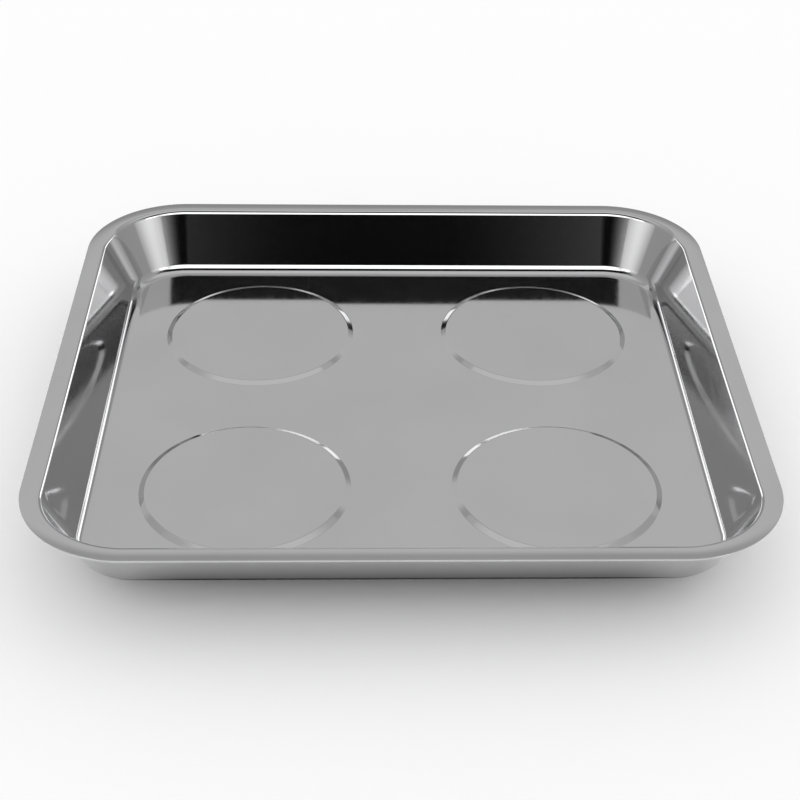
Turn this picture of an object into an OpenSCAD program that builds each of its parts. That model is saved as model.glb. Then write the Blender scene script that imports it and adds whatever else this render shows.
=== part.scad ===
// Magnetic parts tray: a drawn sheet steel pan on four magnet units.
// Each unit is a ring magnet on a dished backing plate, wrapped in a rubber boot that
// is also the foot, and pulled up against the pan by a weld stud, lock washer and nut.
// The origin is on the ground under the middle of the tray, +Z up, front towards -Y.

/* [Pan] */
// Overall width over the flange
tray_w = 300; // [270:1:330]
// Overall depth over the flange, front to back
tray_d = 280; // [255:1:310]
// Corner radius of the flange's outer edge
corner_r = 45; // [38:0.5:60]
// Sheet thickness
sheet_t = 0.8; // [0.5:0.1:1.2]
// Height from the pan's floor to the top of the flange
pan_depth = 28; // [22:0.5:34]
// Flange width, from its outer edge to the line where it would meet a sharp wall
flange_w = 8; // [6:0.25:11]
// Lean of the walls from the vertical, in degrees
wall_draft = 24.5; // [12:0.5:32]
// Bend radius between flange and wall, on the upper face
rim_bend_r = 4; // [2:0.25:5]
// Bend radius between wall and floor, on the upper face
floor_bend_r = 6.5; // [3:0.25:9]

/* [Magnet seats] */
// Spacing of the seats across the tray
seat_pitch_x = 131; // [120:1:140]
// Spacing of the seats front to back
seat_pitch_y = 121; // [112:1:130]
// Height of a seat above the floor around it
seat_rise = 1.2; // [0.8:0.1:2]
// Slope of the ring round a seat, in degrees
seat_slope = 32; // [28:1:40]
// Bend radius at both edges of the ring, on the tight side of the sheet
seat_bend_r = 1; // [0.6:0.1:1.2]
// Gap between a boot and the start of the sloping ring
seat_clear = 0.8; // [0.3:0.1:1.5]

/* [Magnet units] */
// Outer diameter of the ring magnet
magnet_d = 75; // [68:0.5:78]
// Hole through the ring magnet
magnet_hole_d = 32; // [30:0.5:40]
// Thickness of the ring magnet
magnet_t = 7; // [6:0.25:10]
// Chamfer on the magnet's edges
magnet_chamfer = 0.6; // [0.3:0.1:1]
// Gap round the magnet and the plate inside the boot
magnet_clear = 0.25; // [0.1:0.05:0.4]
// Thickness of the backing plate
plate_t = 2; // [1.5:0.1:2.5]
// Diameter of the flat top of the plate's dish
dish_d = 18; // [16:0.5:19]
// Rise of the dish
dish_rise = 4; // [3.5:0.1:4.5]
// Slope of the ring round the dish, in degrees
dish_slope = 60; // [55:1:65]
// Bend radius at both edges of that ring, on the tight side of the plate
dish_bend_r = 1.5; // [1:0.1:1.6]
// Side wall of the boot
boot_wall = 3.25; // [2:0.25:4]
// Base of the boot, under the plate
boot_base = 3; // [2.5:0.25:4]
// Opening through the boot's base
boot_hole_d = 30; // [29:0.5:40]
// Rounding of the boot's lower edges
boot_round = 2; // [1:0.25:2.25]

/* [Fasteners] */
// Diameter of the weld stud
stud_d = 5; // [4:0.5:6]
// Diameter of the stud's weld collar
collar_d = 8; // [7:0.5:10]
// Thickness of the weld collar
collar_t = 1; // [0.5:0.1:1.5]
// Length of stud that shows past the nut
stud_end = 0.6; // [0.3:0.1:1]
// Gap round the stud in the plate and the washer
stud_clear = 0.25; // [0.1:0.05:0.5]
// Gap round the stud in the nut
thread_clear = 0.05; // [0.02:0.01:0.1]
// Nut size across its flats
nut_flats = 8; // [7:0.5:10]
// Nut height
nut_h = 4; // [3:0.1:4.2]
// Outer diameter of the lock washer
washer_d = 9.2; // [8:0.1:11]
// Thickness of the lock washer
washer_t = 1.2; // [0.8:0.1:1.5]
// Width of the washer's split
washer_split = 1; // [0.5:0.1:1.5]

/* [Hidden] */
$fn = 96;
// Every cut runs past what it cuts by this much
overrun = 1;
// Chamfer at the end of the stud
stud_chamfer = 0.5;
// Depth of the rounded corners at the nut's faces, as a share of its height
nut_crown_share = 0.12;
// Width over which the flats lap the sides and the rings that they are one sheet with
floor_lap = 2;

// Heights above the ground
plate_z = boot_base;
magnet_z = plate_z + plate_t;
seat_z = magnet_z + magnet_t;
floor_z = seat_z - seat_rise;
dish_z = plate_z + dish_rise;
washer_z = dish_z - washer_t;
nut_z = washer_z - nut_h;

// The boot and the recess that the raised seat leaves for it
cavity_r = magnet_d / 2 + magnet_clear;
boot_r = cavity_r + boot_wall;
seat_r = boot_r + seat_clear;
seat_run = step_run(seat_rise, seat_slope, seat_bend_r + sheet_t, seat_bend_r);

// Width of the pan's side, from the flat floor to the flange's edge, and the corners' centres
wall_slope = 90 - wall_draft;
side_run = step_run(pan_depth, wall_slope, rim_bend_r, floor_bend_r);
flange_flat = flange_w - rim_bend_r * tan(wall_slope / 2);
floor_corner_r = corner_r - side_run - flange_flat;
straight_w = tray_w - 2 * corner_r;
straight_d = tray_d - 2 * corner_r;

CORNERS = ["front_left", "front_right", "rear_left", "rear_right"];
SIDES_X = [-1, 1, -1, 1];
SIDES_Y = [-1, -1, 1, 1];

UNIT_PIECES = ["weld_stud", "ring_magnet", "backing_plate", "rubber_boot", "lock_washer", "hex_nut"];

// Puts a magnet unit's piece under the seat of the given corner.
module at_seat(corner) {
    translate([SIDES_X[corner] * seat_pitch_x / 2, SIDES_Y[corner] * seat_pitch_y / 2, 0])
        children();
}

// Width of a drawn step between its two flats, with the bend radii on its upper face.
function step_run(rise, slope, upper_r, lower_r) =
    (upper_r + lower_r) * tan(slope / 2) + rise / tan(slope);

// Everything below one face of a drawn step, down to the given depth. The upper flat ends
// at the origin, and the step falls by rise towards +X, rounded at its top and its foot.
module below_step(rise, slope, upper_r, lower_r, upper_flat, lower_flat, depth) {
    run = step_run(rise, slope, upper_r, lower_r);
    foot = [run - lower_r * sin(slope), lower_r * (1 - cos(slope)) - rise];
    end_x = run + lower_flat;
    cut_r = upper_r + overrun;
    tip_r = cut_r / cos(slope / 2);
    difference() {
        polygon([
            [-upper_flat, -depth],
            [-upper_flat, 0],
            [upper_r * tan(slope / 2), 0],
            foot,
            [run, -rise],
            [end_x, -rise],
            [end_x, -depth]
        ]);
        translate([run, lower_r - rise])
            circle(r = lower_r);
        translate([0, -upper_r])
            difference() {
                polygon([
                    [0, 0],
                    [0, cut_r],
                    [tip_r * sin(slope / 2), tip_r * cos(slope / 2)],
                    [cut_r * sin(slope), cut_r * cos(slope)]
                ]);
                circle(r = upper_r);
            }
    }
}

// Section of sheet with a drawn step in it: flat, bend, slope, bend, flat.
module step_section(rise, slope, upper_r, lower_r, upper_flat, lower_flat, thickness) {
    depth = rise + upper_r + thickness;
    difference() {
        below_step(rise, slope, upper_r, lower_r, upper_flat, lower_flat, depth);
        translate([0, -thickness])
            below_step(rise, slope, upper_r - thickness, lower_r + thickness,
                upper_flat + overrun, lower_flat + overrun, depth);
    }
}

// Section of the pan's side about a corner's centre, upper face of the floor at y = 0.
module side_section() {
    translate([floor_corner_r + side_run, pan_depth])
        mirror([1, 0])
            step_section(pan_depth, wall_slope, rim_bend_r, floor_bend_r, flange_flat, floor_lap, sheet_t);
}

// One straight side, run along Y for the given length and facing +X.
module straight_side(length) {
    translate([0, length / 2, 0])
        rotate([90, 0, 0])
            linear_extrude(length)
                side_section();
}

// Sides and corners all round the flat floor.
module pan_sides() {
    for (turn = [0, 180])
        rotate(turn) {
            translate([straight_w / 2, 0, 0])
                straight_side(straight_d);
            rotate(90)
                translate([straight_d / 2, 0, 0])
                    straight_side(straight_w);
            translate([straight_w / 2, straight_d / 2, 0])
                rotate_extrude(angle = 90)
                    side_section();
            translate([-straight_w / 2, straight_d / 2, 0])
                rotate(90)
                    rotate_extrude(angle = 90)
                        side_section();
        }
}

// Flat floor with rounded corners and a hole where each seat is drawn up.
module pan_floor() {
    edge_r = floor_corner_r - floor_lap / 2;
    translate([0, 0, -sheet_t])
        linear_extrude(sheet_t)
            difference() {
                union() {
                    square([straight_w + 2 * edge_r, straight_d], center = true);
                    square([straight_w, straight_d + 2 * edge_r], center = true);
                    for (x = [-straight_w / 2, straight_w / 2], y = [-straight_d / 2, straight_d / 2])
                        translate([x, y])
                            circle(r = edge_r);
                }
                for (corner = [0 : 3])
                    at_seat(corner)
                        circle(r = seat_r + seat_run + floor_lap / 2);
            }
}

// Raised seat: a flat disc and the sloping ring that joins it to the floor.
module magnet_seat() {
    translate([0, 0, seat_rise]) {
        translate([0, 0, -sheet_t])
            cylinder(r = seat_r - floor_lap / 2, h = sheet_t);
        rotate_extrude()
            translate([seat_r, 0])
                step_section(seat_rise, seat_slope, seat_bend_r + sheet_t, seat_bend_r,
                    floor_lap, floor_lap, sheet_t);
    }
}

// The pan, drawn from one sheet.
module tray_pan() {
    color([0.74, 0.74, 0.75])
        translate([0, 0, floor_z + sheet_t]) {
            pan_floor();
            pan_sides();
            for (corner = [0 : 3])
                at_seat(corner)
                    magnet_seat();
        }
}

// Stud with a weld collar against the underside of the seat.
module weld_stud() {
    tip_z = nut_z - stud_end;
    color([0.72, 0.73, 0.72]) {
        translate([0, 0, tip_z + stud_chamfer])
            cylinder(d = stud_d, h = seat_z - tip_z - stud_chamfer);
        translate([0, 0, tip_z])
            cylinder(d1 = stud_d - 2 * stud_chamfer, d2 = stud_d, h = stud_chamfer);
        translate([0, 0, seat_z - collar_t])
            cylinder(d = collar_d, h = collar_t);
    }
}

// Ring magnet with chamfered edges.
module ring_magnet() {
    inner_r = magnet_hole_d / 2;
    outer_r = magnet_d / 2;
    color([0.2, 0.2, 0.21])
        translate([0, 0, magnet_z])
            rotate_extrude()
                polygon([
                    [inner_r + magnet_chamfer, 0],
                    [outer_r - magnet_chamfer, 0],
                    [outer_r, magnet_chamfer],
                    [outer_r, magnet_t - magnet_chamfer],
                    [outer_r - magnet_chamfer, magnet_t],
                    [inner_r + magnet_chamfer, magnet_t],
                    [inner_r, magnet_t - magnet_chamfer],
                    [inner_r, magnet_chamfer]
                ]);
}

// Backing plate under the magnet, dished upwards to take the nut.
module backing_plate() {
    dish_r = dish_d / 2;
    hole_r = stud_d / 2 + stud_clear;
    dish_run = step_run(dish_rise, dish_slope, dish_bend_r + plate_t, dish_bend_r);
    color([0.7, 0.71, 0.72])
        translate([0, 0, dish_z + plate_t])
            rotate_extrude()
                translate([dish_r, 0])
                    step_section(dish_rise, dish_slope, dish_bend_r + plate_t, dish_bend_r,
                        dish_r - hole_r, magnet_d / 2 - dish_r - dish_run, plate_t);
}

// Rubber boot: a cup round the magnet and plate, open in the middle below.
module rubber_boot() {
    hole_r = boot_hole_d / 2;
    color([0.09, 0.09, 0.09])
        rotate_extrude()
            difference() {
                union() {
                    translate([hole_r, boot_round])
                        square([boot_r - hole_r, seat_z - boot_round]);
                    translate([hole_r + boot_round, 0])
                        square([boot_r - hole_r - 2 * boot_round, boot_round + overrun]);
                    for (x = [hole_r + boot_round, boot_r - boot_round])
                        translate([x, boot_round])
                            circle(r = boot_round);
                }
                translate([0, boot_base])
                    square([cavity_r, seat_z]);
            }
}

// Split lock washer between the plate and the nut.
module lock_washer() {
    inner_r = stud_d / 2 + stud_clear;
    color([0.76, 0.76, 0.74])
        translate([0, 0, washer_z])
            difference() {
                cylinder(d = washer_d, h = washer_t);
                translate([0, 0, -overrun])
                    cylinder(r = inner_r, h = washer_t + 2 * overrun);
                translate([0, -washer_split / 2, -overrun])
                    cube([washer_d, washer_split, washer_t + 2 * overrun]);
            }
}

// Hexagon nut, its corners turned down towards both faces.
module hex_nut() {
    point_r = nut_flats / 2 / cos(30);
    crown = nut_crown_share * nut_h;
    color([0.76, 0.76, 0.74])
        translate([0, 0, nut_z])
            difference() {
                intersection() {
                    cylinder(r = point_r, h = nut_h, $fn = 6);
                    rotate_extrude()
                        polygon([
                            [0, 0],
                            [nut_flats / 2, 0],
                            [point_r, crown],
                            [point_r, nut_h - crown],
                            [nut_flats / 2, nut_h],
                            [0, nut_h]
                        ]);
                }
                translate([0, 0, -overrun])
                    cylinder(d = stud_d + 2 * thread_clear, h = nut_h + 2 * overrun);
            }
}

tray_pan();
for (corner = [0 : 3]) {
    at_seat(corner) weld_stud();
    at_seat(corner) ring_magnet();
    at_seat(corner) backing_plate();
    at_seat(corner) rubber_boot();
    at_seat(corner) lock_washer();
    at_seat(corner) hex_nut();
}
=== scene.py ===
"""Looks of a magnetic parts tray: polished drawn pan, rubber feet, magnets and fasteners."""
import math
from typing import NamedTuple

import bmesh
import bpy
from bpy.props import FloatProperty, FloatVectorProperty, IntProperty, PointerProperty
from mathutils import Matrix, Vector


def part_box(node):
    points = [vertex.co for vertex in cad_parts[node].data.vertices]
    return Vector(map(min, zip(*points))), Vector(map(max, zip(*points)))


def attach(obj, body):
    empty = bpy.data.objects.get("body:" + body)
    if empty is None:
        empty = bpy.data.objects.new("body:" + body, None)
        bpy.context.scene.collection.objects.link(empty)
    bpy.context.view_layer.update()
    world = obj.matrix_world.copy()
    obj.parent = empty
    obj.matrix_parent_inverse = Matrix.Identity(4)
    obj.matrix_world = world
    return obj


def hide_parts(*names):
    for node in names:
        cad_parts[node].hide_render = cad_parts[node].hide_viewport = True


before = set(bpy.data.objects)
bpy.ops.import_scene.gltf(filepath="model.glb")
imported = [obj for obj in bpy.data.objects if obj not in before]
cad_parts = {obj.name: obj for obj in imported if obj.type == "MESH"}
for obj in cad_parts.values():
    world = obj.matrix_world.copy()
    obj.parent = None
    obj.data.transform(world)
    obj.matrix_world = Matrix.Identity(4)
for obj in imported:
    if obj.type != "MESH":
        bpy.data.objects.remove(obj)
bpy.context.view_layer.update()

bl_info = {
    "name": "Magnetic Parts Tray",
    "version": (1, 0, 0),
    "blender": (4, 5, 0),
    "location": "View3D > Sidebar > Parts Tray",
    "description": "Models the drawn pan and finishes the magnet units of a parts tray",
    "category": "Object",
}

# The box of the solids, kept before anything is added to them
BODY = "root"
CORNERS = ("front_left", "front_right", "rear_left", "rear_right")

PAN_LOW, PAN_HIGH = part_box("tray_pan")
BOOT_LOW, BOOT_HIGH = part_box("rubber_boot_front_left")
Z_AXIS = Vector((0, 0, 1))
Y_AXIS = Vector((0, 1, 0))

# The part of a noise's values that its tints and spreads run over
NOISE_LOW = 0.3
NOISE_HIGH = 0.7
# Heights as shares of the pan's, each with the share of a drawn wall's look that it gets
WALL_SHARES = ((0.12, 0), (0.3, 1), (0.8, 1), (0.98, 0))
# Depth of the drawing streaks as a share of the sheet's slow unevenness
STREAK_SHARE = 0.12
# Shares of the sheet's thickness within which points are one point, or lie on one level
WELD_SHARE = 0.05
LEVEL_SHARE = 0.1


class PanSizes(bpy.types.PropertyGroup):
    """Sizes of the drawn pan"""

    width: FloatProperty(
        name="Width", description="Over the flange, side to side",
        default=PAN_HIGH.x - PAN_LOW.x, subtype="DISTANCE", unit="LENGTH")
    depth: FloatProperty(
        name="Depth", description="Over the flange, front to back",
        default=PAN_HIGH.y - PAN_LOW.y, subtype="DISTANCE", unit="LENGTH")
    sheet: FloatProperty(
        name="Sheet", description="Thickness of the sheet",
        default=0.0008, precision=5, subtype="DISTANCE", unit="LENGTH")
    corner: FloatProperty(
        name="Corner", description="Corner radius of the flange's outer edge",
        default=0.045, subtype="DISTANCE", unit="LENGTH")
    flange: FloatProperty(
        name="Flange", description="From the outer edge to where the wall would start without its bend",
        default=0.008, subtype="DISTANCE", unit="LENGTH")
    draft: FloatProperty(
        name="Draft", description="Lean of the walls from the vertical",
        default=math.radians(24.5), subtype="ANGLE", unit="ROTATION")
    droop: FloatProperty(
        name="Droop", description="Fall of the flange towards its cut edge",
        default=math.radians(7), subtype="ANGLE", unit="ROTATION")
    rim_bend: FloatProperty(
        name="Rim Bend", description="Bend radius between flange and wall, on the upper face",
        default=0.003, precision=5, subtype="DISTANCE", unit="LENGTH")
    floor_bend: FloatProperty(
        name="Floor Bend", description="Bend radius between wall and floor, on the upper face",
        default=0.0065, subtype="DISTANCE", unit="LENGTH")
    seat_rise: FloatProperty(
        name="Seat Rise", description="Height of a magnet seat above the floor",
        default=0.0012, precision=5, subtype="DISTANCE", unit="LENGTH")
    seat_slope: FloatProperty(
        name="Seat Slope", description="Slope of the ring round a seat",
        default=math.radians(24), subtype="ANGLE", unit="ROTATION")
    seat_bend: FloatProperty(
        name="Seat Bend", description="Bend radius of the ring, on the tight side of the sheet",
        default=0.001, precision=5, subtype="DISTANCE", unit="LENGTH")
    seat_clear: FloatProperty(
        name="Seat Clearance", description="Gap between a boot and the ring round its seat",
        default=0.0004, precision=5, subtype="DISTANCE", unit="LENGTH")
    edge_break: FloatProperty(
        name="Edge Break", description="Rounding of the cut edge of the flange",
        default=0.00018, precision=5, subtype="DISTANCE", unit="LENGTH")
    edge_angle: FloatProperty(
        name="Edge Angle", description="Edges sharper than this are broken",
        default=math.radians(60), subtype="ANGLE", unit="ROTATION")
    edge_steps: IntProperty(
        name="Edge Steps", description="Facets across a broken edge", default=3, min=1)
    bend_steps: IntProperty(
        name="Bend Steps", description="Facets across a bend of the walls", default=16, min=4)
    seat_steps: IntProperty(
        name="Seat Steps", description="Facets across a bend of a seat's ring", default=8, min=2)
    corner_steps: IntProperty(
        name="Corner Steps", description="Facets round one corner", default=40, min=8)
    ring_steps: IntProperty(
        name="Ring Steps", description="Facets round a seat", default=128, min=24)


class Finishes(bpy.types.PropertyGroup):
    """Colours of the finishes"""

    steel: FloatVectorProperty(
        name="Steel", description="Polished stainless sheet",
        default=(0.62, 0.62, 0.625), subtype="COLOR", size=3, min=0, max=1)
    zinc: FloatVectorProperty(
        name="Zinc", description="Zinc plating on the plates and fasteners",
        default=(0.55, 0.56, 0.54), subtype="COLOR", size=3, min=0, max=1)
    ferrite: FloatVectorProperty(
        name="Ferrite", description="Ground ferrite of the magnets",
        default=(0.045, 0.045, 0.048), subtype="COLOR", size=3, min=0, max=1)
    rubber: FloatVectorProperty(
        name="Rubber", description="Moulded rubber of the boots",
        default=(0.032, 0.032, 0.033), subtype="COLOR", size=3, min=0, max=1)


class StageSizes(bpy.types.PropertyGroup):
    """Camera, floor, painted shade card and dome of the studio"""

    camera_place: FloatVectorProperty(
        name="Camera", description="Place of the camera",
        default=(-0.01528, -0.60520, 0.43466), subtype="XYZ", unit="LENGTH", size=3)
    pitch: FloatProperty(
        name="Pitch", description="Tilt of the camera below the horizon",
        default=math.radians(34.73), subtype="ANGLE", unit="ROTATION")
    yaw: FloatProperty(
        name="Yaw", description="Turn of the camera about the upright, from +Y",
        default=math.radians(-2.55), subtype="ANGLE", unit="ROTATION")
    roll: FloatProperty(
        name="Roll", description="Turn of the camera about its own line of sight",
        default=math.radians(1.47), subtype="ANGLE", unit="ROTATION")
    lens: FloatProperty(
        name="Lens", description="Focal length in millimetres", default=73.63)
    sensor: FloatProperty(
        name="Sensor", description="Width of the sensor in millimetres", default=36)
    shift: FloatProperty(
        name="Shift", description="Sideways shift of the frame", default=-0.0314)
    floor: FloatVectorProperty(
        name="Floor", description="Colour of the floor",
        default=(0.985, 0.985, 0.985), subtype="COLOR", size=3, min=0, max=1)
    floor_reach: FloatProperty(
        name="Floor Reach", description="From the tray's middle to the floor's edges",
        default=6, subtype="DISTANCE", unit="LENGTH")
    floor_drop: FloatProperty(
        name="Floor Drop", description="Gap between the feet and the floor, so that no faces coincide",
        default=0.0001, precision=5, subtype="DISTANCE", unit="LENGTH")
    # Painted shade: the card sized below is a dark sheet under the tray that shows only in the metal, in
    # place of the ground's shade.
    shade_card_size: FloatVectorProperty(
        name="Mat", description="Width and depth of the dark mat under the tray",
        default=(0.276, 0.262), subtype="XYZ", unit="LENGTH", size=2)
    shade_card_rise: FloatProperty(
        name="Mat Rise", description="Height of the mat above the feet's level",
        default=0.0005, precision=5, subtype="DISTANCE", unit="LENGTH")
    shade_card_fade: FloatVectorProperty(
        name="Mat Fade", description="Width of the mat's soft edges: at its sides, and at front and back",
        default=(0.055, 0.016), subtype="XYZ", unit="LENGTH", size=2)
    shade_card_glow: FloatProperty(
        name="Mat Glow", description="Brightness of the mat in the metal", default=0.02)
    dome: FloatProperty(
        name="Dome", description="Distance of the cards from the tray",
        default=1.95, subtype="DISTANCE", unit="LENGTH")
    sky: FloatProperty(
        name="Sky", description="Soft light from all round on what isn't polished", default=1.0)


def tray():
    """The scene, which holds the tray's settings."""
    return bpy.context.scene


def material_of(name):
    """A new material with an empty node tree, and its output."""
    material = bpy.data.materials.new(name)
    material.use_nodes = True
    nodes = material.node_tree.nodes
    nodes.clear()
    output = nodes.new("ShaderNodeOutputMaterial")
    return material, nodes, material.node_tree.links, output


def principled(nodes, links, output):
    """A Principled shader on the material's output."""
    shader = nodes.new("ShaderNodeBsdfPrincipled")
    links.new(shader.outputs["BSDF"], output.inputs["Surface"])
    return shader


def object_axes(nodes, links):
    """The Object coordinates, axis by axis."""
    place = nodes.new("ShaderNodeTexCoord")
    axes = nodes.new("ShaderNodeSeparateXYZ")
    links.new(place.outputs["Object"], axes.inputs["Vector"])
    return axes.outputs


def maths(nodes, links, operation, first, second=None):
    """One sum on shader values, where the second can be a link or a number."""
    node = nodes.new("ShaderNodeMath")
    node.operation = operation
    links.new(first, node.inputs[0])
    if isinstance(second, (int, float)):
        node.inputs[1].default_value = second
    elif second is not None:
        links.new(second, node.inputs[1])
    return node.outputs["Value"]


def noise(nodes, links, scale, detail, stretch=(1, 1, 1)):
    """Noise on Object coordinates, stretched along the axes."""
    place = nodes.new("ShaderNodeTexCoord")
    mapping = nodes.new("ShaderNodeMapping")
    mapping.inputs["Scale"].default_value = stretch
    links.new(place.outputs["Object"], mapping.inputs["Vector"])
    texture = nodes.new("ShaderNodeTexNoise")
    texture.inputs["Scale"].default_value = scale
    texture.inputs["Detail"].default_value = detail
    links.new(mapping.outputs["Vector"], texture.inputs["Vector"])
    return texture.outputs["Fac"]


def spread(nodes, links, source, low, high):
    """A noise spread over a range of values."""
    range_node = nodes.new("ShaderNodeMapRange")
    range_node.inputs["From Min"].default_value = NOISE_LOW
    range_node.inputs["From Max"].default_value = NOISE_HIGH
    range_node.inputs["To Min"].default_value = low
    range_node.inputs["To Max"].default_value = high
    links.new(source, range_node.inputs["Value"])
    return range_node.outputs["Result"]


def tint(nodes, links, source, colour, low, high):
    """A colour that a noise varies between two levels of itself."""
    ramp = nodes.new("ShaderNodeValToRGB")
    stops = ramp.color_ramp.elements
    for stop, position, level in ((stops[0], NOISE_LOW, low), (stops[1], NOISE_HIGH, high)):
        stop.position = position
        stop.color = (*[level * c for c in colour], 1)
    links.new(source, ramp.inputs["Fac"])
    return ramp.outputs["Color"]


def bump(nodes, links, shader, height, distance, strength):
    """A bump on the shader's normal."""
    node = nodes.new("ShaderNodeBump")
    node.inputs["Distance"].default_value = distance
    node.inputs["Strength"].default_value = strength
    links.new(height, node.inputs["Height"])
    links.new(node.outputs["Normal"], shader.inputs["Normal"])


def wall_share(nodes, links):
    """1 on the drawn walls, fading to 0 on the floor and on the flange."""
    height = nodes.new("ShaderNodeMapRange")
    height.inputs["From Min"].default_value = PAN_LOW.z
    height.inputs["From Max"].default_value = PAN_HIGH.z
    links.new(object_axes(nodes, links)["Z"], height.inputs["Value"])
    share = nodes.new("ShaderNodeValToRGB")
    ramp = share.color_ramp
    ramp.interpolation = "EASE"
    for position, level in WALL_SHARES:
        stop = ramp.elements.new(position)
        stop.color = (level, level, level, 1)
    ramp.elements[0].color = (0, 0, 0, 1)
    ramp.elements[-1].color = (0, 0, 0, 1)
    links.new(height.outputs["Result"], share.inputs["Fac"])
    return share.outputs["Color"]


def polished_steel():
    """Bright rolled stainless sheet: a soft mirror, with faint streaks where the walls were drawn."""
    material, nodes, links, output = material_of("polished_steel")
    shader = principled(nodes, links, output)
    shader.inputs["Metallic"].default_value = 1
    mottle = noise(nodes, links, scale=22, detail=4)
    grain = noise(nodes, links, scale=420, detail=3, stretch=(1, 0.25, 1))
    streak = noise(nodes, links, scale=150, detail=1, stretch=(1, 1, 0.08))
    colour = tint(nodes, links, mottle, tray().tray_finishes.steel, low=0.97, high=1.02)
    links.new(colour, shader.inputs["Base Color"])
    links.new(spread(nodes, links, grain, low=0.06, high=0.09), shader.inputs["Roughness"])
    drawn = maths(nodes, links, "MULTIPLY", streak, wall_share(nodes, links))
    faint = maths(nodes, links, "MULTIPLY", drawn, STREAK_SHARE)
    height = maths(nodes, links, "ADD", mottle, faint)
    bump(nodes, links, shader, height, distance=0.00002, strength=0.6)
    return material


def zinc_plate():
    """Zinc plated steel with a cloudy sheen."""
    material, nodes, links, output = material_of("zinc_plate")
    shader = principled(nodes, links, output)
    shader.inputs["Metallic"].default_value = 1
    cloud = noise(nodes, links, scale=160, detail=5)
    colour = tint(nodes, links, cloud, tray().tray_finishes.zinc, low=0.82, high=1.08)
    links.new(colour, shader.inputs["Base Color"])
    links.new(spread(nodes, links, cloud, low=0.24, high=0.4), shader.inputs["Roughness"])
    bump(nodes, links, shader, cloud, distance=0.00002, strength=0.5)
    return material


def ground_ferrite():
    """Dark ceramic of the magnets, ground and slightly porous."""
    material, nodes, links, output = material_of("ground_ferrite")
    shader = principled(nodes, links, output)
    pores = noise(nodes, links, scale=900, detail=6)
    colour = tint(nodes, links, pores, tray().tray_finishes.ferrite, low=0.7, high=1.3)
    links.new(colour, shader.inputs["Base Color"])
    links.new(spread(nodes, links, pores, low=0.45, high=0.7), shader.inputs["Roughness"])
    bump(nodes, links, shader, pores, distance=0.00004, strength=0.6)
    return material


def moulded_rubber():
    """Matt black rubber with the fine texture of its mould and a little dust."""
    material, nodes, links, output = material_of("moulded_rubber")
    shader = principled(nodes, links, output)
    texture = noise(nodes, links, scale=1400, detail=4)
    dust = noise(nodes, links, scale=60, detail=5)
    colour = tint(nodes, links, dust, tray().tray_finishes.rubber, low=0.8, high=1.5)
    links.new(colour, shader.inputs["Base Color"])
    links.new(spread(nodes, links, dust, low=0.55, high=0.75), shader.inputs["Roughness"])
    bump(nodes, links, shader, texture, distance=0.00005, strength=0.5)
    return material


def finish_node(name, material):
    """Gives a CAD node its material, in place of any it had."""
    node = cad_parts[name]
    node.data.materials.clear()
    node.data.materials.append(material)


def verts_of(items):
    """The vertices among a bmesh operator's results."""
    return [item for item in items if isinstance(item, bmesh.types.BMVert)]


def edges_of(items):
    """The edges among a bmesh operator's results."""
    return [item for item in items if isinstance(item, bmesh.types.BMEdge)]


def arc_on(bm, vert, centre, axis, angle, steps):
    """Draws an arc on from the given vertex and returns its last one."""
    made = bmesh.ops.spin(
        bm, geom=[vert], cent=centre, axis=axis, angle=angle, steps=steps, use_duplicate=False)
    return verts_of(made["geom_last"])[0]


def line_on(bm, vert, along):
    """Draws a straight edge on from the given vertex and returns its end."""
    made = bmesh.ops.extrude_vert_indiv(bm, verts=[vert])
    bmesh.ops.translate(bm, verts=made["verts"], vec=along)
    return made["verts"][0]


def draw_step(bm, start, slope, lower_bend, upper_bend, rise, flat, steps, droop=0):
    """Section of a drawn step in the XZ plane, from its foot up and outwards to the end of its flat.

    The flat can droop a little towards its end.
    """
    foot = arc_on(bm, start, start.co + lower_bend * Z_AXIS, Y_AXIS, -slope, steps)
    climb = (rise - (lower_bend + upper_bend) * (1 - math.cos(slope))) / math.sin(slope)
    along = Vector((math.cos(slope), 0, math.sin(slope)))
    top = line_on(bm, foot, climb * along)
    inward = Vector((math.sin(slope), 0, -math.cos(slope)))
    rim = arc_on(bm, top, top.co + upper_bend * inward, Y_AXIS, slope, steps)
    if droop == 0:
        return line_on(bm, rim, Vector((flat, 0, 0)))
    below = rim.co - flat / math.sin(droop) * Z_AXIS
    return arc_on(bm, rim, below, Y_AXIS, droop, steps)


def step_run(slope, lower_bend, upper_bend, rise):
    """Width of a drawn step between its two flats."""
    return (lower_bend + upper_bend) * math.tan(slope / 2) + rise / math.tan(slope)


def seat_places():
    """Middles of the four seats, from the boots under them."""
    places = []
    for corner in CORNERS:
        low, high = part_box("rubber_boot_" + corner)
        places.append((low + high) / 2)
    return places


def is_end(edge, line):
    """True for an edge of the freshly drawn end of a sweep, and not for one along it."""
    old = {vert for item in line for vert in item.verts}
    return not any(vert in old for vert in edge.verts)


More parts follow.
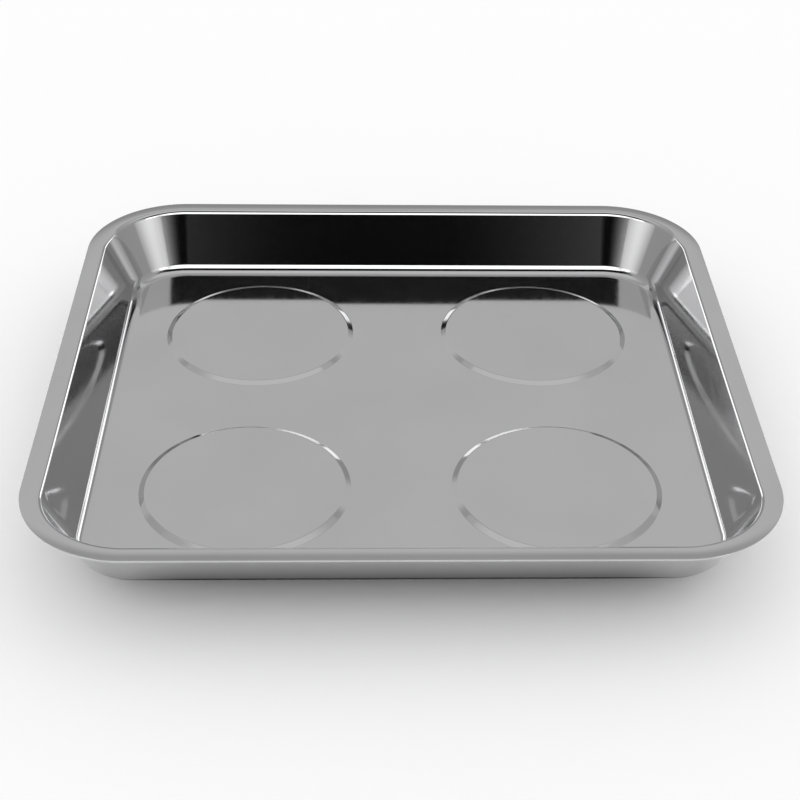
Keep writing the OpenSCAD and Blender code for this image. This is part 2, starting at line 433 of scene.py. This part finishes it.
def sweep_sides(bm, floor_z):
    """Sweeps the section of the pan's side round its four corners and along its four sides."""
    sizes = tray().tray_pan
    slope = math.pi / 2 - sizes.draft
    rise = PAN_HIGH.z - floor_z
    run = step_run(slope, sizes.floor_bend, sizes.rim_bend, rise)
    flat = sizes.flange - sizes.rim_bend * math.tan(slope / 2)
    half_w = sizes.width / 2 - sizes.corner
    half_d = sizes.depth / 2 - sizes.corner
    foot_r = sizes.corner - run - flat
    start = bm.verts.new((half_w + foot_r, half_d, floor_z))
    draw_step(
        bm, start, slope, sizes.floor_bend, sizes.rim_bend, rise, flat, sizes.bend_steps, sizes.droop)
    line = list(bm.edges)
    middle = Vector((half_w, half_d, floor_z))
    sides = (Vector((-2 * half_w, 0, 0)), Vector((0, -2 * half_d, 0)),
             Vector((2 * half_w, 0, 0)), Vector((0, 2 * half_d, 0)))
    for side in sides:
        turned = bmesh.ops.spin(
            bm, geom=line, cent=middle, axis=Z_AXIS, angle=math.pi / 2,
            steps=sizes.corner_steps, use_duplicate=False)
        line = edges_of(turned["geom_last"])
        drawn = bmesh.ops.extrude_edge_only(bm, edges=line)["geom"]
        bmesh.ops.translate(bm, verts=verts_of(drawn), vec=side)
        line = [edge for edge in edges_of(drawn) if is_end(edge, line)]
        middle = middle + side
    bmesh.ops.remove_doubles(bm, verts=bm.verts, dist=WELD_SHARE * sizes.sheet)


def draw_seat(bm, place, floor_z):
    """A raised seat, spun about its middle, and its flat top. Returns the ring's outer edges."""
    sizes = tray().tray_pan
    lower, upper = sizes.seat_bend, sizes.seat_bend + sizes.sheet
    run = step_run(sizes.seat_slope, lower, upper, sizes.seat_rise)
    seat_r = (BOOT_HIGH.x - BOOT_LOW.x) / 2 + sizes.seat_clear
    before = set(bm.edges)
    start = bm.verts.new((place.x - seat_r - run, place.y, floor_z))
    top = draw_step(
        bm, start, sizes.seat_slope, lower, upper, sizes.seat_rise, sizes.seat_bend, sizes.seat_steps)
    section = [edge for edge in bm.edges if edge not in before]
    bmesh.ops.spin(
        bm, geom=section, cent=(place.x, place.y, floor_z), axis=Z_AXIS, angle=2 * math.pi,
        steps=sizes.ring_steps, use_merge=True, use_duplicate=False)
    ring = [edge for edge in bm.edges if edge not in before and edge.is_boundary]
    inner = [edge for edge in ring if abs(edge.verts[0].co.z - top.co.z) < sizes.seat_rise / 2]
    bmesh.ops.contextual_create(bm, geom=inner)
    return [edge for edge in ring if edge not in inner]


def draw_floor(bm, rings, floor_z):
    """Fills the floor between the foot of the walls and the rings of the seats."""
    level = LEVEL_SHARE * tray().tray_pan.sheet
    seats = {edge for ring in rings for edge in ring}
    foot = [edge for edge in bm.edges if edge.is_boundary and edge not in seats
            and all(abs(vert.co.z - floor_z) < level for vert in edge.verts)]
    bmesh.ops.triangle_fill(bm, use_beauty=True, edges=foot + list(seats))


def face_up(bm):
    """Turns all faces of the sheet the same way, the floor's upwards."""
    bmesh.ops.recalc_face_normals(bm, faces=bm.faces)
    middle = min(bm.faces, key=lambda face: face.calc_center_median().length)
    if middle.normal.z < 0:
        bmesh.ops.reverse_faces(bm, faces=bm.faces)


def thicken(pan):
    """Gives the drawn sheet its thickness below the upper face, and breaks its cut edge."""
    sizes = tray().tray_pan
    wall = pan.modifiers.new("sheet", "SOLIDIFY")
    wall.thickness = sizes.sheet
    wall.offset = -1
    wall.use_even_offset = True
    edge = pan.modifiers.new("edge_break", "BEVEL")
    edge.width = sizes.edge_break
    edge.segments = sizes.edge_steps
    edge.limit_method = "ANGLE"
    edge.angle_limit = sizes.edge_angle
    even = pan.modifiers.new("even_normals", "WEIGHTED_NORMAL")
    even.keep_sharp = False


class TRAY_OT_pan(bpy.types.Operator):
    """Draws the pan as one sheet, with its seats, and gives it its thickness"""

    bl_idname = "tray.pan"
    bl_label = "Drawn Pan"

    def execute(self, context):
        floor_z = PAN_LOW.z + context.scene.tray_pan.sheet
        bm = bmesh.new()
        sweep_sides(bm, floor_z)
        rings = [draw_seat(bm, place, floor_z) for place in seat_places()]
        draw_floor(bm, rings, floor_z)
        face_up(bm)
        for face in bm.faces:
            face.smooth = True
        mesh = bpy.data.meshes.new("drawn_pan")
        bm.to_mesh(mesh)
        bm.free()
        mesh.materials.append(polished_steel())
        pan = bpy.data.objects.new("drawn_pan", mesh)
        context.scene.collection.objects.link(pan)
        thicken(pan)
        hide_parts("tray_pan")
        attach(pan, BODY)
        return {"FINISHED"}


class TRAY_OT_boots(bpy.types.Operator):
    """Finishes the rubber boots"""

    bl_idname = "tray.boots"
    bl_label = "Rubber Boots"

    def execute(self, context):
        rubber = moulded_rubber()
        for corner in CORNERS:
            finish_node("rubber_boot_" + corner, rubber)
        return {"FINISHED"}


class TRAY_OT_magnets(bpy.types.Operator):
    """Finishes the ring magnets"""

    bl_idname = "tray.magnets"
    bl_label = "Ring Magnets"

    def execute(self, context):
        ferrite = ground_ferrite()
        for corner in CORNERS:
            finish_node("ring_magnet_" + corner, ferrite)
        return {"FINISHED"}


class TRAY_OT_fasteners(bpy.types.Operator):
    """Finishes the plates, studs, washers and nuts"""

    bl_idname = "tray.fasteners"
    bl_label = "Plates and Fasteners"

    def execute(self, context):
        zinc = zinc_plate()
        for piece in ("backing_plate_", "weld_stud_", "lock_washer_", "hex_nut_"):
            for corner in CORNERS:
                finish_node(piece + corner, zinc)
        return {"FINISHED"}


class StudioCard(NamedTuple):
    """A card or softbox that shows in the polished sheet: lengths in metres, angles in degrees.

    The azimuth runs from straight behind the tray to the right. The card glows from low at its lower
    edge to high at its upper one, and fades out towards its rim. The reach is the card's distance as a
    share of the dome's.
    """

    name: str
    azimuth: float
    elevation: float
    width: float
    height: float
    low: float
    high: float
    side_fade: float
    edge_fade: float
    reach: float = 1


def left_and_right(name, azimuth, **card):
    """The same card on both sides. Its name has the word side, which becomes left or right."""
    return (StudioCard(name.replace("side", "left"), -azimuth, **card),
            StudioCard(name.replace("side", "right"), azimuth, **card))


STUDIO_CARDS = (
    StudioCard("ceiling", azimuth=0, elevation=89, width=5, height=3.2, low=0.55, high=0.55,
               side_fade=0.4, edge_fade=0.2, reach=1.08),
    StudioCard("dark_back", azimuth=0, elevation=28, width=5.2, height=2.7, low=0.33, high=0.45,
               side_fade=0.1, edge_fade=0.08, reach=1.12),
    StudioCard("grey_back", azimuth=0, elevation=37, width=4.6, height=1.14, low=0.61, high=0.67,
               side_fade=1, edge_fade=0.3),
    StudioCard("low_left_light", azimuth=-38, elevation=5, width=1, height=0.38, low=2.2, high=2.2,
               side_fade=0.1, edge_fade=0.06),
    StudioCard("low_right_light", azimuth=38, elevation=5.5, width=1, height=0.42, low=2.2, high=2.2,
               side_fade=0.1, edge_fade=0.06),
    StudioCard("pale_ceiling", azimuth=0, elevation=79.5, width=2.4, height=1.13, low=0.72, high=0.74,
               side_fade=0.4, edge_fade=0.05),
    *left_and_right("side_wall", azimuth=97, elevation=26, width=3.6, height=2.4, low=0.38, high=0.5,
                    side_fade=0.4, edge_fade=0.2, reach=1.08),
    *left_and_right("side_light", azimuth=124, elevation=27, width=2.4, height=1.7, low=1.2, high=1.2,
                    side_fade=1.2, edge_fade=0.7),
    *left_and_right("high_side_light", azimuth=127, elevation=40.5, width=0.6, height=0.62,
                    low=2.8, high=2.8, side_fade=0.14, edge_fade=0.12, reach=0.85),
    StudioCard("dark_front", azimuth=180, elevation=14, width=4.4, height=1.7, low=0.001, high=0.006,
               side_fade=2.1, edge_fade=0.1, reach=0.9),
    StudioCard("dark_roof", azimuth=180, elevation=60, width=4.4, height=2.5, low=0.006, high=0.01,
               side_fade=1.6, edge_fade=0.2, reach=0.9),
    StudioCard("front_light", azimuth=180, elevation=51, width=2.6, height=1.02, low=2.2, high=2.2,
               side_fade=0.9, edge_fade=0.08, reach=0.85),
)


def fade_out(nodes, links, along, length, fading):
    """1 in the middle of a card's length, falling softly to 0 at both ends."""
    fade = nodes.new("ShaderNodeMapRange")
    fade.interpolation_type = "SMOOTHSTEP"
    fade.inputs["From Min"].default_value = length / 2 - fading
    fade.inputs["From Max"].default_value = length / 2
    fade.inputs["To Min"].default_value = 1
    fade.inputs["To Max"].default_value = 0
    links.new(maths(nodes, links, "ABSOLUTE", along), fade.inputs["Value"])
    return fade.outputs["Result"]


def mix_shaders(nodes, links, output, share, first, second):
    """Puts a mix of two shaders on the material's output."""
    mix = nodes.new("ShaderNodeMixShader")
    links.new(share, mix.inputs["Fac"])
    links.new(first, mix.inputs[1])
    links.new(second, mix.inputs[2])
    links.new(mix.outputs["Shader"], output.inputs["Surface"])


def soft_card(sheet):
    """Glow of a card, clear towards its rim."""
    material, nodes, links, output = material_of(sheet.name)
    axes = object_axes(nodes, links)
    climb = nodes.new("ShaderNodeMapRange")
    climb.inputs["From Min"].default_value = -sheet.height / 2
    climb.inputs["From Max"].default_value = sheet.height / 2
    climb.inputs["To Min"].default_value = sheet.low
    climb.inputs["To Max"].default_value = sheet.high
    links.new(axes["Y"], climb.inputs["Value"])
    glow = nodes.new("ShaderNodeEmission")
    links.new(climb.outputs["Result"], glow.inputs["Strength"])
    across = fade_out(nodes, links, axes["X"], sheet.width, sheet.side_fade)
    upright = fade_out(nodes, links, axes["Y"], sheet.height, sheet.edge_fade)
    both = maths(nodes, links, "MULTIPLY", across, upright)
    clear = nodes.new("ShaderNodeBsdfTransparent")
    mix_shaders(nodes, links, output, both, clear.outputs["BSDF"], glow.outputs["Emission"])
    return material


def hang(sheet, place, facing):
    """Hangs a card in the studio, so that it only shows in the metal's reflections."""
    bm = bmesh.new()
    bmesh.ops.create_grid(bm, x_segments=1, y_segments=1, size=1 / 2)
    bmesh.ops.scale(bm, vec=(sheet.width, sheet.height, 1), verts=bm.verts)
    mesh = bpy.data.meshes.new(sheet.name)
    bm.to_mesh(mesh)
    bm.free()
    mesh.materials.append(soft_card(sheet))
    panel = bpy.data.objects.new(sheet.name, mesh)
    turn = facing.to_track_quat("Z", "Y").to_matrix().to_4x4()
    panel.matrix_world = Matrix.Translation(place) @ turn
    panel.visible_camera = False
    panel.visible_diffuse = False
    panel.visible_shadow = False
    bpy.context.scene.collection.objects.link(panel)


def sky_place(azimuth, elevation, distance):
    """A place on the studio's dome: azimuth from straight behind the tray, to the right."""
    a, e = math.radians(azimuth), math.radians(elevation)
    return distance * Vector((math.sin(a) * math.cos(e), math.cos(a) * math.cos(e), math.sin(e)))


def hang_on_dome(sheet):
    """A card on the dome, facing the tray."""
    place = sky_place(sheet.azimuth, sheet.elevation, sheet.reach * tray().tray_stage.dome)
    hang(sheet, place, -place)


def lay_painted_shade():
    """Painted shade: a dark card under the tray, seen only in the metal, which gives the outer walls
    their shade towards the ground.
    """
    stage = tray().tray_stage
    width, depth = stage.shade_card_size
    side_fade, edge_fade = stage.shade_card_fade
    # Painted shade, darkest under the tray and fading out towards its edges.
    shade_card = StudioCard("painted_shade_card", azimuth=0, elevation=0, width=width, height=depth, low=stage.shade_card_glow,
                     high=stage.shade_card_glow, side_fade=side_fade, edge_fade=edge_fade)
    hang(shade_card, stage.shade_card_rise * Z_AXIS, Z_AXIS)


def pale_floor():
    """Plain pale finish that keeps the tray's shadow, and is clear from below."""
    material, nodes, links, output = material_of("pale_floor")
    matt = nodes.new("ShaderNodeBsdfDiffuse")
    matt.inputs["Color"].default_value = (*tray().tray_stage.floor, 1)
    clear = nodes.new("ShaderNodeBsdfTransparent")
    below = nodes.new("ShaderNodeNewGeometry").outputs["Backfacing"]
    mix_shaders(nodes, links, output, below, matt.outputs["BSDF"], clear.outputs["BSDF"])
    return material


def lay_floor():
    """The studio's floor, just below the feet."""
    stage = tray().tray_stage
    bm = bmesh.new()
    bmesh.ops.create_grid(bm, x_segments=1, y_segments=1, size=stage.floor_reach)
    bmesh.ops.translate(bm, vec=-stage.floor_drop * Z_AXIS, verts=bm.verts)
    mesh = bpy.data.meshes.new("floor")
    bm.to_mesh(mesh)
    bm.free()
    mesh.materials.append(pale_floor())
    floor = bpy.data.objects.new("floor", mesh)
    bpy.context.scene.collection.objects.link(floor)


def white_studio():
    """A world that looks white, straight or in metal and glass, and lights what isn't polished."""
    world = bpy.data.worlds.new("white_studio")
    world.use_nodes = True
    nodes, links = world.node_tree.nodes, world.node_tree.links
    path = nodes.new("ShaderNodeLightPath").outputs
    seen = path["Is Camera Ray"]
    for ray in ("Is Glossy Ray", "Is Transmission Ray"):
        seen = maths(nodes, links, "MAXIMUM", seen, path[ray])
    level = nodes.new("ShaderNodeMapRange")
    level.inputs["To Min"].default_value = tray().tray_stage.sky
    level.inputs["To Max"].default_value = 1
    links.new(seen, level.inputs["Value"])
    background = nodes["Background"]
    background.inputs["Color"].default_value = (1, 1, 1, 1)
    links.new(level.outputs["Result"], background.inputs["Strength"])
    return world


def set_camera():
    """The camera, in front of the tray and above it."""
    scene = bpy.context.scene
    stage = scene.tray_stage
    camera = bpy.data.objects.new("camera", bpy.data.cameras.new("camera"))
    camera.data.sensor_width = stage.sensor
    camera.data.lens = stage.lens
    camera.data.shift_x = stage.shift
    turn = (Matrix.Rotation(stage.yaw, 4, "Z")
            @ Matrix.Rotation(math.pi / 2 - stage.pitch, 4, "X")
            @ Matrix.Rotation(stage.roll, 4, "Z"))
    camera.matrix_world = Matrix.Translation(stage.camera_place) @ turn
    scene.collection.objects.link(camera)
    scene.camera = camera


class TRAY_OT_stage(bpy.types.Operator):
    """Sets the floor, the studio's cards and the camera"""

    bl_idname = "tray.stage"
    bl_label = "Stage"

    def execute(self, context):
        context.scene.view_settings.view_transform = "Standard"
        context.scene.world = white_studio()
        lay_floor()
        for sheet in STUDIO_CARDS:
            hang_on_dome(sheet)
        lay_painted_shade()
        set_camera()
        return {"FINISHED"}


class TRAY_PT_panel(bpy.types.Panel):
    """Lists the tray's pieces"""

    bl_idname = "TRAY_PT_panel"
    bl_label = "Parts Tray"
    bl_space_type = "VIEW_3D"
    bl_region_type = "UI"
    bl_category = "Parts Tray"

    def draw(self, context):
        for operator in OPERATORS:
            self.layout.operator(operator.bl_idname)


OPERATORS = (TRAY_OT_pan, TRAY_OT_boots, TRAY_OT_magnets, TRAY_OT_fasteners, TRAY_OT_stage)
CLASSES = (PanSizes, Finishes, StageSizes, *OPERATORS, TRAY_PT_panel)


def register():
    """Registers the classes and the scene's settings."""
    for item in CLASSES:
        bpy.utils.register_class(item)
    bpy.types.Scene.tray_pan = PointerProperty(type=PanSizes)
    bpy.types.Scene.tray_finishes = PointerProperty(type=Finishes)
    bpy.types.Scene.tray_stage = PointerProperty(type=StageSizes)


def unregister():
    """Takes the classes and settings away again."""
    del bpy.types.Scene.tray_stage
    del bpy.types.Scene.tray_finishes
    del bpy.types.Scene.tray_pan
    for item in reversed(CLASSES):
        bpy.utils.unregister_class(item)


def main():
    """Builds every piece."""
    register()
    bpy.ops.tray.pan()
    bpy.ops.tray.boots()
    bpy.ops.tray.magnets()
    bpy.ops.tray.fasteners()
    bpy.ops.tray.stage()


if __name__ == "__main__":
    main()
